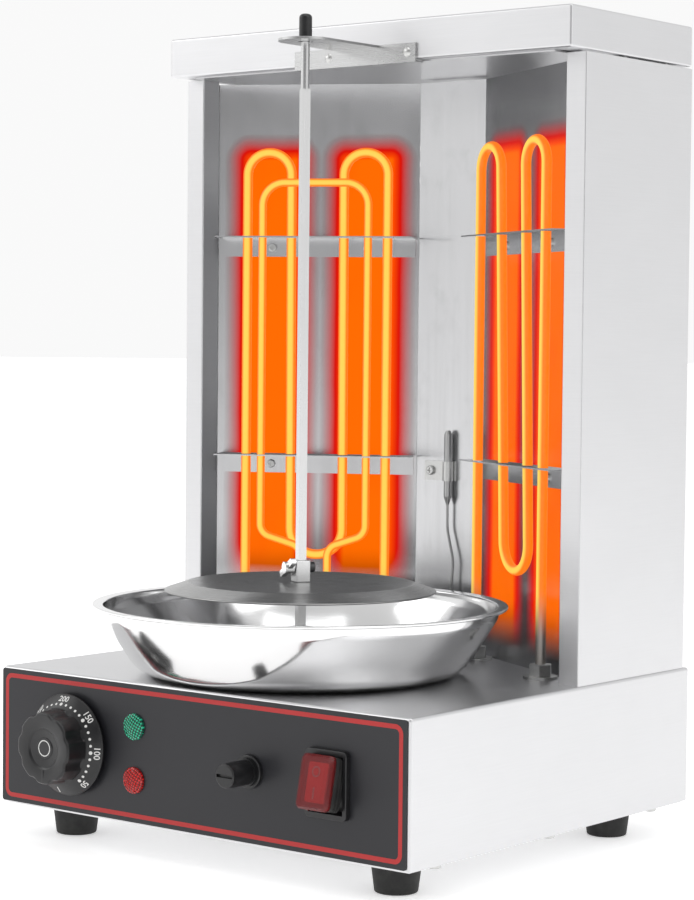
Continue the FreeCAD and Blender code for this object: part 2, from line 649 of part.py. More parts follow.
def switch_boot():
    """Rubber bellows block over the rocker, with two grooves round its sides and a bore for the pin."""
    block = switch_block(11.2, 14.2, panel_y - 9.8, panel_y + 1.5, 2.4)
    for y in (panel_y - 5.2, panel_y - 7.8):
        groove = switch_block(15, 20, y - 0.5, y + 0.5, 0).cut(switch_block(10.3, 13.3, y - 1, y + 1, 2.0))
        block = block.cut(groove)
    return tilted(block.cut(rod(switch_x - 12, rocker_axis_y, control_z, rocker_pin_r + 0.1, 24, X_AXIS)))


def switch_window():
    """Clear red cover on the front of the boot."""
    y1 = panel_y - 9.8
    block = switch_block(10.8, 14.5, y1 - 3.6, y1, 3.0)
    block = block.makeChamfer(1.2, [e for e in block.Edges if e.BoundBox.YMax < y1 - 3.5])
    return tilted(block)


save("switch_body", switch_body())
save("switch_boot", switch_boot())
save("switch_window", switch_window())

# ---- drive: gear motor under the deck, coupling and bush ----
teeth_big, teeth_small, module = 36, 10, 0.75
gear_z = deck_z - 11.0
pinion_x = module * (teeth_big + teeth_small) / 2
case_floor_z = deck_z - 17.0        # gearbox case from here up to the deck
motor_r = 24.6
ear_xs = (-29.0, 29.0)              # screws through the deck into the gearbox's ears


def spin(shape, angle):
    """Turned about the spit's axis."""
    return shape.rotate(V(0, spit_y, 0), Z_AXIS, angle)


def square_bar(side, z0, z1):
    half = side / 2
    return spin(box(-half, half, spit_y - half, spit_y + half, z0, z1), spit_angle)


def gear(teeth, x, y, z, height, bore_r, turn=0.0):
    """Spur gear with straight-sided teeth."""
    root, tip = module * teeth / 2 - module * 1.2, module * teeth / 2 + module * 0.75
    step = 2 * math.pi / teeth
    points = []
    for i in range(teeth):
        for share, radius in ((-0.27, root), (-0.12, tip), (0.12, tip), (0.27, root)):
            angle = math.radians(turn) + (i + share) * step
            points.append((x + radius * math.cos(angle), y + radius * math.sin(angle)))
    return slab(points, z, z + height).cut(rod(x, y, z - 1, bore_r, height + 2))


def gearbox_case():
    """Round can with two ears screwed up to the deck; the shafts run in its floor and top."""
    z0, z1 = case_floor_z, deck_z - sheet
    can = rod(0, spit_y, z0, 25.0, z1 - z0)
    ears = [rod(dx, spit_y, z1 - 1.5, 6.0, 1.5) for dx in ear_xs]
    case = join([can] + ears).cut(rod(0, spit_y, z0 + 1.5, 23.2, z1 - z0 - 3.0))
    holes = [rod(0, spit_y, z0 - 1, 3.55, 30), rod(pinion_x, spit_y, z0 - 1, 1.55, 30)]
    holes += [rod(0, spit_y, z1 - 3, 9.5, 6)]
    holes += [rod(dx, spit_y, z1 - 5, 2.1, 8) for dx in ear_xs]
    return cut(case, holes)


def drive_coupling():
    """Shaft with a socket for the square end of the spit."""
    shaft = rod(0, spit_y, case_floor_z, 3.5, 18.0)
    neck = rod(0, spit_y, deck_z - 3.0, 7.95, 5.0)
    head = rod(0, spit_y, deck_z + 1.9, 8.6, 25.0)
    head = head.makeFillet(0.8, [e for e in head.Edges if e.isClosed() and e.BoundBox.ZMin > deck_z + 26])
    return join([shaft, neck, head]).cut(square_bar(bar + 0.3, deck_z + 12.5, deck_z + 30))


def drive_bush():
    bush = join([rod(0, spit_y, deck_z - 2.4, 9.4, 2.4), rod(0, spit_y, deck_z, 12.0, 1.6)])
    return bush.cut(rod(0, spit_y, deck_z - 4, 8.0, 8))


def last_pinion():
    return join([gear(teeth_small, pinion_x, spit_y, gear_z, 6.0, 0.5, 180.0 / teeth_small),
                 rod(pinion_x, spit_y, case_floor_z, 1.5, 15.9)])


motor = rod(0, spit_y, case_floor_z - 23.0, motor_r, 23.0)
save("motor_can", motor.cut(rod(0, spit_y, case_floor_z - 1.5, 8.0, 4)))
save("gearbox_case", gearbox_case())
save("output_gear", gear(teeth_big, 0, spit_y, gear_z, 5.0, 3.5))
save("last_pinion", last_pinion())
save("drive_coupling", drive_coupling())
save("drive_bush", drive_bush())
save("machine_screws", Part.makeCompound(
    [screw((dx, spit_y, deck_z), (0, 0, -1), length=5) for dx in ear_xs]
    + [screw((knob_x + dx, panel_y, control_z), (0, 1, 0), head_h=2.0, length=9) for dx in (-14.0, 14.0)]))


# ---- supply side: terminal block and cable gland ----
def terminal_block():
    block = box(gland_x - 62, gland_x - 22, back_y - 22, back_y - sheet, housing_z + 30, housing_z + 48)
    holes = [rod(gland_x - 54 + 12 * i, back_y - 15, housing_z + 39, 3.4, 20) for i in range(3)]
    return cut(block, holes)


def cable_gland():
    """Nut outside the back wall that grips the supply cable, a wider throat and a lock nut inside."""
    grip_y = back_y + 0.6
    body = join([rod(gland_x, back_y, gland_z, 11.0, gland_reach - 4, Y_AXIS),
                 rod(gland_x, back_y + gland_reach - 5, gland_z, 8.0, 5, Y_AXIS),
                 rod(gland_x, back_y - 12, gland_z, 7.4, 14, Y_AXIS)])
    body = cut(body, [rod(gland_x, grip_y - 2, gland_z, 4.5, gland_reach + 4, Y_AXIS),
                      rod(gland_x, back_y - 20, gland_z, 5.6, grip_y - back_y + 20, Y_AXIS)])
    nut = rod(gland_x, back_y - sheet - 5, gland_z, 11.0, 5, Y_AXIS)
    return Part.makeCompound([body, nut.cut(rod(gland_x, back_y - 20, gland_z, 7.45, 30, Y_AXIS))])


save("terminal_block", terminal_block())
save("cable_gland", cable_gland())


# ---- drip bowl, disc, collar and spit ----
def drip_bowl():
    """Round bowl with a flat rim and a raised collar round the drive."""
    z = deck_z
    rim = bowl_rim_z
    under = [(10.6, z + 18), (10.6, z + 3.2), (58.0, z + 3.2), (63.0, z), (80.0, z),
             (97.5, z + 9.3, 89.9, z + 2.5), (112.0, rim - 9.0),
             (113.6, rim - 2.2, 113.3, rim - 6.0), (bowl_r - 0.6, rim - 2.0),
             (bowl_r, rim - 0.8, bowl_r - 0.1, rim - 1.6), (bowl_r - 0.9, rim)]
    inside = [(112.8, rim - 0.6), (111.2, rim - 8.6, 112.4, rim - 5.0), (96.7, z + 9.9),
              (80.0, z + 1.0, 89.4, z + 3.4), (63.4, z + 1.0), (58.4, z + 4.2), (13.0, z + 4.2),
              (11.6, z + 5.6), (11.6, z + 18)]
    return turned(under + inside, 0, spit_y)


def meat_disc():
    """Flat plate with a sloping edge; the square bar passes through its middle."""
    top = disc_top_z
    upper = [(0, top), (64.0, top), (65.6, top - 0.4), (disc_r - 0.4, top - 4.4), (disc_r, top - 5.2)]
    lower = [(disc_r - 1.0, top - 5.4), (65.2, top - 1.7), (63.8, top - 1.2), (0, top - 1.2)]
    disc = turned(upper + lower, 0, spit_y)
    return disc.cut(square_bar(bar + 0.5, top - 5, top + 5))


collar_z = disc_top_z + 0.9
screw_z = collar_z + 7.4
screw_angle = spit_angle - 90.0     # turns parts built along +X onto the wing screw's side
wing_tilt = 28.0


def collar_block():
    half = 4.4
    block = box(-half, half, spit_y - half, spit_y + half, collar_z - 0.9, collar_z + 11.6)
    block = block.makeFillet(0.7, block.Edges)
    spin(block, spit_angle)
    holes = [square_bar(bar + 0.2, collar_z - 5, collar_z + 20)]
    holes += [spin(rod(0, spit_y, screw_z, 1.65, 12, V(sign, 0, 0)), spit_angle + 90) for sign in (-1, 1)]
    return cut(block, holes)


def wing_screw():
    """Thumb screw: threaded stem, round boss and two wings set across it."""
    y = spit_y
    stem = rod(2.7, y, screw_z, 1.6, 5.0, X_AXIS)
    boss = rod(5.0, y, screw_z, 3.4, 5.4, X_AXIS)
    wings = []
    for sign in (-1, 1):
        wing = box(6.4, 9.4, min(0, sign * 9.8), max(0, sign * 9.8), -1.9, 1.9)
        wing = wing.makeFillet(1.2, edges_along(wing, X_AXIS, lambda p: abs(p.y) > 5))
        wing.rotate(V(0, 0, 0), X_AXIS, wing_tilt)
        wing.translate(V(0, y, screw_z))
        wings.append(wing)
    return spin(join([stem, boss] + wings), screw_angle)


def set_screw():
    """Dark socket screw opposite the wing screw."""
    shape = rod(2.7, spit_y, screw_z, 1.6, 3.0, X_AXIS).fuse(rod(4.6, spit_y, screw_z, 3.0, 3.2, X_AXIS))
    hexagon_socket = hexagon(0, 0, 0, 3.0, 3.0)
    hexagon_socket.rotate(V(0, 0, 0), Y_AXIS, 90)
    hexagon_socket.translate(V(5.6, spit_y, screw_z))
    return spin(shape.cut(hexagon_socket).removeSplitter(), screw_angle + 180)


def spit_rod():
    """Square bar with a round upper end."""
    square = square_bar(bar, deck_z + 12.6, spit_step_z)
    round_end = rod(0, spit_y, spit_step_z - 1, round_r, spit_top_z - spit_step_z + 1)
    return join([square, round_end])


def spit_cap():
    cap_z = tongue_z + 1.2
    cap = rod(0, spit_y, cap_z, 3.7, roof_top_z - cap_z)
    cap = cap.makeFillet(2.4, [e for e in cap.Edges if e.isClosed() and e.BoundBox.ZMin > roof_top_z - 1])
    return cap.cut(rod(0, spit_y, cap_z - 1, round_r, spit_top_z - cap_z + 1))


save("drip_bowl", drip_bowl())
save("meat_disc", meat_disc())
save("collar_block", collar_block())
save("wing_screw", wing_screw())
save("collar_screw", set_screw())
save("spit_bar", spit_rod())
save("spit_cap", spit_cap())
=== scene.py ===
import math
import bmesh
import bpy
from mathutils import Matrix, Vector


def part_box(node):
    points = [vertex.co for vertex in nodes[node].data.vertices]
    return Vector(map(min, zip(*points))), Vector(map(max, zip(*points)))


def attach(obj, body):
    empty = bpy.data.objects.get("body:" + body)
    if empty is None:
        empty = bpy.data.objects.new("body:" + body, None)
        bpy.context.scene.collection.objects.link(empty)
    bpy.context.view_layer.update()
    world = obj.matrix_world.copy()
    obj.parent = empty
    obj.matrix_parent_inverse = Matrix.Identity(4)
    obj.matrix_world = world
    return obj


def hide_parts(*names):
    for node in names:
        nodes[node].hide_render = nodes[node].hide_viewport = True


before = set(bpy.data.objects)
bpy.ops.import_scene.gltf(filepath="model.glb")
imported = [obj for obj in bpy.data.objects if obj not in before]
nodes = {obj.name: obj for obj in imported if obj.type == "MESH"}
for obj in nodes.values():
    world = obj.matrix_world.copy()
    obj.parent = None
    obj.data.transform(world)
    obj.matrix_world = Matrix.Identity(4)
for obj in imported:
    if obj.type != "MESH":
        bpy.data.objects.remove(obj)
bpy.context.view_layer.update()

mm = 0.001
deg = math.pi / 180

# ---- Studio ----
# A long lens looks at the front right corner from about the height of the cabinet's middle.
# The oven stands on a pale floor in soft white light, and the room behind the camera is darker.
camera = bpy.data.objects.new("camera", bpy.data.cameras.new("camera"))
bpy.context.scene.collection.objects.link(camera)
camera.data.lens = 99.55
camera.data.sensor_width = 36.0
camera.matrix_world = (Matrix.Translation((0.91204, -1.12565, 0.29124)) @ Matrix.Rotation(38.9 * deg, 4, "Z")
                       @ Matrix.Rotation(87.4 * deg, 4, "X") @ Matrix.Rotation(0.56 * deg, 4, "Z"))
bpy.context.scene.camera = camera
bpy.context.scene.view_settings.view_transform = "Standard"


class Shade:
    """A value running through a node tree. Sums on it add Math nodes, and node() adds any other node."""

    def __init__(self, tree, socket=None):
        self.tree = tree
        self.socket = socket

    def feed(self, socket, value):
        if isinstance(value, Shade):
            self.tree.links.new(value.socket, socket)
        else:
            socket.default_value = value

    def node(self, kind, inputs, out=0, stops=(), **settings):
        """Any other node: its settings, a ramp's stops after those at 0 and 1, and its sockets' values."""
        made = self.tree.nodes.new("ShaderNode" + kind)
        for name, value in settings.items():
            setattr(made, name, value)
        for i, (at, colour) in enumerate(stops):
            stop = made.color_ramp.elements[i] if i < 2 else made.color_ramp.elements.new(at)
            stop.position = at
            stop.color = (*colour, 1.0)
        for name, value in inputs.items():
            self.feed(made.inputs[name], value)
        return Shade(self.tree, made.outputs[out])

    def maths(self, operation, *values):
        return self.node("Math", dict(enumerate(values)), operation=operation)

    def __add__(self, other):
        return self.maths("ADD", self, other)

    def __sub__(self, other):
        return self.maths("SUBTRACT", self, other)

    def __rsub__(self, other):
        return self.maths("SUBTRACT", other, self)

    def __mul__(self, other):
        return self.maths("MULTIPLY", self, other)

    def __truediv__(self, other):
        return self.maths("DIVIDE", self, other)

    def __abs__(self):
        return self.maths("ABSOLUTE", self)

    __radd__ = __add__
    __rmul__ = __mul__

    def larger(self, other):
        return self.maths("MAXIMUM", self, other)

    def smaller(self, other):
        return self.maths("MINIMUM", self, other)

    def root(self):
        return self.maths("SQRT", self)

    def sine(self):
        return self.maths("SINE", self)

    def rise(self, start, end):
        """0 before start and 1 past end, smoothly between them."""
        return self.node("MapRange", {"Value": self, "From Min": start, "From Max": end},
                         interpolation_type="SMOOTHSTEP")

    def along(self, direction):
        """How far this vector reaches along a direction."""
        return self.node("VectorMath", {0: self, 1: direction}, out="Value", operation="DOT_PRODUCT")

    def stretched(self, scale):
        return self.node("VectorMath", {0: self, 1: scale}, operation="MULTIPLY")

    def from_line(self, y):
        """Distance of this place from the upright line through (0, y)."""
        offset = self.node("VectorMath", {0: self, 1: (0.0, y, 0.0)}, operation="SUBTRACT")
        level = offset.stretched((1.0, 1.0, 0.0))
        return self.node("VectorMath", {0: level}, out="Value", operation="LENGTH")

    def grain(self, scale, detail=2.0, roughness=0.5):
        """Fractal noise over this place, about 0.5 on average. scale is cycles per metre along each axis."""
        return self.node("TexNoise", {"Vector": self.stretched(scale), "Scale": 1.0, "Detail": detail,
                                      "Roughness": roughness})

    def between(self, low, high):
        """The colour this far from low to high."""
        return self.node("Mix", {0: self, 6: (*low, 1.0) if isinstance(low, tuple) else low,
                                 7: (*high, 1.0) if isinstance(high, tuple) else high},
                         out=2, data_type="RGBA")


room = bpy.data.worlds.new("room")
room.use_nodes = True
bpy.context.scene.world = room
room_light = Shade(room.node_tree)
towards = room_light.node("TexCoord", {}, out="Generated")
behind_camera = towards.along((0.45, -0.88, 0.12)).rise(0.55, 0.98)
overhead = towards.along((0.0, 0.0, 1.0)).rise(0.35, 0.9)
room_colour = (behind_camera * 0.8).larger(overhead * 0.35).between((1.0, 1.0, 1.0), (0.12, 0.12, 0.125))
room_light.feed(room.node_tree.nodes["Background"].inputs["Color"], room_colour)
room.node_tree.nodes["Background"].inputs["Strength"].default_value = 0.95

for lamp_name, place, size, power in (("softbox_left", (-1.9, -1.3, 1.5), 1.4, 9.0),
                                      ("softbox_right", (2.2, -0.4, 1.9), 1.6, 10.0),
                                      ("softbox_top", (0.2, -0.3, 2.6), 1.8, 14.0)):
    softbox = bpy.data.objects.new(lamp_name, bpy.data.lights.new(lamp_name, "AREA"))
    softbox.data.size = size
    softbox.data.energy = power
    softbox.location = place
    softbox.rotation_euler = (Vector(place) - Vector((0, 0, 0.2))).to_track_quat("Z", "Y").to_euler()
    bpy.context.scene.collection.objects.link(softbox)


class Finish(Shade):
    """A material with one shader. Fixed values go straight onto the shader's sockets."""

    def __init__(self, name, values):
        self.material = bpy.data.materials.new(name)
        self.material.use_nodes = True
        super().__init__(self.material.node_tree)
        self.shader = self.tree.nodes["Principled BSDF"]
        self.place = self.node("TexCoord", {}, out="Object")
        self.facing = self.node("NewGeometry", {}, out="Normal")
        self.set(values)

    def set(self, values):
        for name, value in values.items():
            self.feed(self.shader.inputs[name], (*value, 1.0) if isinstance(value, tuple) else value)

    def relief(self, height, depth, strength=1.0):
        """Bump from a height between 0 and 1, where 1 stands depth metres proud."""
        self.set({"Normal": self.node("Bump", {"Height": height, "Distance": depth, "Strength": strength})})


floor_mesh = bpy.data.meshes.new("floor")
floor_bm = bmesh.new()
bmesh.ops.create_circle(floor_bm, cap_ends=True, radius=30.0, segments=96)
floor_bm.to_mesh(floor_mesh)
floor = bpy.data.objects.new("floor", floor_mesh)
bpy.context.scene.collection.objects.link(floor)
floor.location.z = -0.0002
pale_floor = Finish("pale_floor", {"Roughness": 0.7, "Specular IOR Level": 0.2,
                                   "Emission Color": (1.0, 1.0, 1.0), "Emission Strength": 0.42})
pale_floor.set({"Base Color": pale_floor.place.grain((3.0, 3.0, 3.0)).between((0.90, 0.90, 0.90),
                                                                             (0.93, 0.93, 0.93))})
floor.data.materials.append(pale_floor.material)


# ---- Sheet-metal casing ----
# The base, cabinet, back and roof are folded from 1 mm stainless sheet with a brushed finish.
# The brush runs level round the casing, and lengthwise over the deck.
def brushed(name, tone, roughness, level=(28.0, 28.0, 1500.0), broad=0.06):
    """Brushed stainless: long fine scratches, with slow changes of tone across the sheet."""
    steel = Finish(name, {"Metallic": 1.0})
    flat = abs(steel.facing.along((0.0, 0.0, 1.0))).rise(0.6, 0.8)
    upright = steel.place.grain(level, 5.0, 0.62)
    lying = steel.place.grain((28.0, 1500.0, 1500.0), 5.0, 0.62)
    scratches = upright * (1.0 - flat) + lying * flat
    clouds = steel.place.grain((9.0, 9.0, 14.0), 3.0)
    handling = steel.place.grain((45.0, 45.0, 60.0), 4.0, 0.7).rise(0.52, 0.78)
    shade = (scratches * 0.55 + clouds * broad * 10.0).smaller(1.0)
    steel.set({"Base Color": shade.between(tuple(c * 0.86 for c in tone), tone),
               "Roughness": scratches * 0.16 + handling * 0.05 + (roughness - 0.08)})
    steel.relief(scratches, 0.00005, 0.55)
    return steel


def dress(names, finish):
    """Gives CAD nodes a finish in every slot."""
    for name in names:
        mesh = nodes[name].data
        mesh.materials.clear()
        mesh.materials.append(finish.material)


casing_steel = brushed("casing_steel", (0.74, 0.74, 0.75), 0.34)
dress(["base_housing", "side_panel_left", "side_panel_right", "back_panel", "roof", "bottom_plate"],
      casing_steel)
dress(["spit_bracket"], brushed("bracket_steel", (0.62, 0.62, 0.62), 0.26))


def mesh_from(bm, name):
    """Turns built geometry into a mesh, with its faces turned outwards."""
    mesh = bpy.data.meshes.new(name)
    bmesh.ops.recalc_face_normals(bm, faces=bm.faces)
    bm.to_mesh(mesh)
    bm.free()
    return mesh


def fit(name, bm, body, finish, replaces=(), at=Matrix(), crease=35):
    """Turns built geometry into a piece that rides on a body, with edges sharper than crease kept sharp."""
    bm.transform(at)
    thing = bpy.data.objects.new(name, mesh_from(bm, name))
    bpy.context.scene.collection.objects.link(thing)
    thing.data.shade_smooth()
    thing.data.set_sharp_from_angle(angle=crease * deg)
    thing.data.materials.append(finish.material)
    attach(thing, body)
    if replaces:
        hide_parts(*replaces)
    return thing


def soften(bm, width, above=30):
    """Rounds the edges that turn by more than an angle."""
    edges = [e for e in bm.edges if e.is_manifold and e.calc_face_angle(0.0) > above * deg]
    bmesh.ops.bevel(bm, geom=edges, offset=width, segments=2, profile=0.5, affect="EDGES",
                    clamp_overlap=True)
    return bm


# ---- Control overlay ----
# A black printed polycarbonate sheet stuck to the front wall, with a red border line near its edge.
panel_low, panel_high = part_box("control_panel")
panel_y = panel_low.y
overlay = Finish("overlay_black", {"Specular IOR Level": 0.35, "Coat Weight": 0.15, "Coat Roughness": 0.25})
overlay_grain = overlay.place.grain((1800.0, 1800.0, 1800.0), 2.0)
overlay_haze = overlay.place.grain((14.0, 14.0, 22.0), 3.0)
overlay.set({"Base Color": overlay_haze.between((0.013, 0.013, 0.016), (0.020, 0.020, 0.024)),
             "Roughness": overlay_haze * 0.12 + 0.40})
overlay.relief(overlay_grain, 0.00002, 0.5)
dress(["control_panel"], overlay)


def on_front(x, z, out=0.0):
    """Where a part sits on the overlay: its own z points out to the front and its y up."""
    return Matrix.Translation((x, panel_y - out, z)) @ Matrix.Rotation(90 * deg, 4, "X")


def rounded_outline(width, height, radius, steps=8):
    """Rectangle with round corners, as points."""
    points = []
    for corner, (sx, sy) in enumerate(((1, 1), (-1, 1), (-1, -1), (1, -1))):
        for i in range(steps + 1):
            angle = (corner + i / steps) * 90 * deg
            points.append((sx * (width / 2 - radius) + radius * math.cos(angle),
                           sy * (height / 2 - radius) + radius * math.sin(angle)))
    return points


def circle(radius, count, middle_y=0.0):
    """Circle as points."""
    angles = [i * 360 / count * deg for i in range(count)]
    return [(radius * math.cos(angle), middle_y + radius * math.sin(angle)) for angle in angles]


def band(bm, outer, inner, h0, h1):
    """Closed flat band between two outlines with the same number of points."""
    rings = [[bm.verts.new((x, y, h)) for x, y in outline] for outline, h in
             ((outer, h0), (outer, h1), (inner, h1), (inner, h0))]
    for ring, following in zip(rings, rings[1:] + rings[:1]):
        count = len(ring)
        for i in range(count):
            bm.faces.new((ring[i], ring[(i + 1) % count], following[(i + 1) % count], following[i]))
    return bm


def ink(name, colour):
    """Printed ink, a little patchy."""
    printed = Finish(name, {"Specular IOR Level": 0.35})
    patchy = printed.place.grain((900.0, 900.0, 900.0), 3.0)
    printed.set({"Base Color": patchy.between(tuple(c * 0.88 for c in colour), colour),
                 "Roughness": patchy * 0.15 + 0.36})
    return printed


red_ink = ink("red_ink", (0.50, 0.030, 0.030))
white_ink = ink("white_ink", (0.82, 0.82, 0.80))
panel_w, panel_h = panel_high.x - panel_low.x, panel_high.z - panel_low.z
border_inset, border_w, print_t = 2.6 * mm, 2.5 * mm, 0.05 * mm
border_in = border_inset + border_w
border = band(bmesh.new(),
              rounded_outline(panel_w - 2 * border_inset, panel_h - 2 * border_inset, 5.0 * mm),
              rounded_outline(panel_w - 2 * border_in, panel_h - 2 * border_in, 2.6 * mm), 0.0, print_t)
panel_middle = (panel_low + panel_high) / 2
fit("red_border", border, "oven_body", red_ink,
    at=on_front(panel_middle.x, panel_middle.z))


# ---- Thermostat knob ----
# Glossy black moulding: a cone-shaped skirt printed with the scale, and a grip with eight shallow
# flutes, a dished face and a thin ridge as its pointer.
knob_low, knob_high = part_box("knob")
knob_x, knob_z = (knob_low.x + knob_high.x) / 2, (knob_low.z + knob_high.z) / 2
knob_top = panel_y - knob_low.y
skirt_r, grip_r, skirt_rise = (knob_high.x - knob_low.x) / 2, 21.0 * mm, 7.6 * mm
black_moulding = Finish("knob_black", {"Specular IOR Level": 0.5})
moulding_haze = black_moulding.place.grain((160.0, 160.0, 160.0), 4.0)
black_moulding.set({"Base Color": moulding_haze.between((0.008, 0.008, 0.009), (0.014, 0.014, 0.015)),
                    "Roughness": moulding_haze.rise(0.35, 0.75) * 0.14 + 0.28})
black_moulding.relief(black_moulding.place.grain((2600.0, 2600.0, 2600.0), 1.0), 0.00001, 0.6)


def turned(steps, segments=128, fluted=None):
    """Mesh turned about z through steps of (r, h). A step of (r, h, r1, h1) is an arc through r1, h1.
    fluted, if given, works out the radius from r, h and the angle."""
    points = [Vector(steps[0][:2])]
    for step in steps[1:]:
        end = Vector(step[:2])
        if len(step) == 2:
            points.append(end)
        else:
            points += arc_points(points[-1], Vector(step[2:]), end, 8)
    bm = bmesh.new()
    rings = []
    for point in points:
        if point.x < 1e-7:
            rings.append([bm.verts.new((0, 0, point.y))])
            continue
        ring = []
        for i in range(segments):
            angle = i * 2 * math.pi / segments
            r = fluted(point.x, point.y, angle) if fluted else point.x
            ring.append(bm.verts.new((r * math.cos(angle), r * math.sin(angle), point.y)))
        rings.append(ring)
    pairs = list(zip(rings, rings[1:]))
    if len(rings[0]) > 1 and len(rings[-1]) > 1:
        pairs.append((rings[-1], rings[0]))
    for low, high in pairs:
        for i in range(segments):
            j = (i + 1) % segments
            corners = [low[i % len(low)], low[j % len(low)], high[j % len(high)], high[i % len(high)]]
            bm.faces.new(list(dict.fromkeys(corners)))
    return bm


def arc_points(start, through, end, count):
    """Points after start along the arc through three points."""
    a, b = through - start, end - start
    cross = 2 * (a.x * b.y - a.y * b.x)
    centre = start + Vector((b.y * a.length_squared - a.y * b.length_squared,
                             a.x * b.length_squared - b.x * a.length_squared)) / cross
    first, last = start - centre, end - centre
    sweep = math.atan2(first.x * last.y - first.y * last.x, first.dot(last))
    middle = through - centre
    half = math.atan2(first.x * middle.y - first.y * middle.x, first.dot(middle))
    if sweep * half < 0:
        sweep += math.copysign(2 * math.pi, half)
    points = []
    for i in range(count):
        angle = sweep * (i + 1) / count
        points.append(centre + Vector((first.x * math.cos(angle) - first.y * math.sin(angle),
                                       first.x * math.sin(angle) + first.y * math.cos(angle))))
    return points


flutes, flute_depth = 8, 1.3 * mm


def grip_outline(r, h, angle):
    """Shallow flutes round the grip, deepest half way between the lobes."""
    if h < skirt_rise + 3.2 * mm or r < grip_r - 3 * mm:
        return r
    flute = max(0.0, math.cos(flutes * angle + math.pi)) ** 1.3
    return r - flute_depth * flute * (r / grip_r)


# The printed cone runs from just inside the skirt's edge up to the foot of the grip.
base_out = panel_y - knob_high.y
cone_low_r, cone_low_h = skirt_r - 0.5 * mm, base_out + 1.5 * mm
cone_high_r, cone_high_h = grip_r + 1.0 * mm, skirt_rise + 2.2 * mm
knob_steps = [(0.0, base_out), (skirt_r - 0.8 * mm, base_out),
              (skirt_r, base_out + 0.8 * mm, skirt_r - 0.2 * mm, base_out + 0.2 * mm),
              (cone_low_r, cone_low_h, skirt_r - 0.1 * mm, base_out + 1.3 * mm),
              (cone_high_r, cone_high_h), (grip_r + 0.1 * mm, skirt_rise + 2.4 * mm),
              (grip_r, skirt_rise + 3.4 * mm), (grip_r - 0.4 * mm, knob_top - 5.0 * mm),
              (grip_r - 0.7 * mm, knob_top - 1.6 * mm),
              (grip_r - 2.3 * mm, knob_top, grip_r - 1.1 * mm, knob_top - 0.45 * mm),
              (12.0 * mm, knob_top - 0.3 * mm),
              (10.8 * mm, knob_top - 1.2 * mm, 11.5 * mm, knob_top - 0.6 * mm),
              (6.2 * mm, knob_top - 1.9 * mm), (5.8 * mm, knob_top - 1.5 * mm), (0.0, knob_top - 1.4 * mm)]
knob_at = on_front(knob_x, knob_z)
fit("knob_moulding", turned(knob_steps, 256, grip_outline), "knob", black_moulding, ["knob"],
    knob_at, 28)


def add_block(bm, size, at):
    """Adds a block with its middle at a place."""
    bmesh.ops.create_cube(bm, size=1.0, matrix=at @ Matrix.Diagonal((*size, 1.0)))
    return bm


pointer = add_block(bmesh.new(), (1.1 * mm, 7.4 * mm, 0.5 * mm),
                    Matrix.Translation((0, -15.9 * mm, knob_top - 0.25 * mm)))
fit("knob_pointer_line", soften(pointer, 0.12 * mm), "knob", black_moulding, at=knob_at)
ring = band(bmesh.new(), circle(4.6 * mm, 60), circle(4.1 * mm, 60),
            knob_top - 1.6 * mm, knob_top - 1.34 * mm)
fit("knob_face_ring", ring, "knob", white_ink, at=knob_at)

# The scale is printed on the skirt: a large dot and a number every 50 degrees, four small dots between,
# and a line where the heat is off.
scale_r, number_r, print_lift = 23.6 * mm, 26.2 * mm, 0.1 * mm
scale_start, dot_step, dots_per_number = -51.0, 9.4, 5
cone_drop = (cone_high_h - cone_low_h) / (cone_low_r - cone_high_r)


def on_skirt(r, angle):
    """Place on the cone: z off its face, y outward along the radius."""
    height = cone_low_h + (cone_low_r - r) * cone_drop
    return (knob_at @ Matrix.Rotation(angle - 90 * deg, 4, "Z") @ Matrix.Translation((0, r, height))
            @ Matrix.Rotation(-math.atan(cone_drop), 4, "X"))


dots = bmesh.new()
for i in range(21):
    dot_r = (1.05 if i % dots_per_number == 0 else 0.78) * mm
    bmesh.ops.create_cone(dots, cap_ends=True, segments=20, radius1=dot_r, radius2=dot_r, depth=print_lift,
                          matrix=on_skirt(scale_r, (scale_start + i * dot_step) * deg))
add_block(dots, (0.7 * mm, 4.6 * mm, print_lift), on_skirt(26.0 * mm, -98 * deg))
fit("dial_dots", dots, "knob", white_ink)


def lettering(text, size, thickness, at, into):
    """Adds a number or mark as thin solid letters."""
    curve = bpy.data.curves.new("mark", "FONT")
    curve.body = text
    curve.size = size
    curve.align_x = "CENTER"
    curve.align_y = "CENTER"
    curve.extrude = thickness / 2
    curve.offset = size * 0.012
    curve.resolution_u = 4
    carrier = bpy.data.objects.new("mark", curve)
    bpy.context.scene.collection.objects.link(carrier)
    bpy.context.view_layer.update()
    depsgraph = bpy.context.evaluated_depsgraph_get()
    mesh = bpy.data.meshes.new_from_object(carrier.evaluated_get(depsgraph))
    mesh.transform(at)
    into.from_mesh(mesh)
    bpy.data.objects.remove(carrier)
    bpy.data.meshes.remove(mesh)


numbers = bmesh.new()
for i in range(5):
    angle = (scale_start + i * dots_per_number * dot_step) * deg
    lettering(str(50 * (i + 1)), 5.0 * mm, print_lift, on_skirt(number_r, angle), numbers)
bmesh.ops.remove_doubles(numbers, verts=numbers.verts, dist=1e-6)
fit("dial_numbers", numbers, "knob", white_ink)


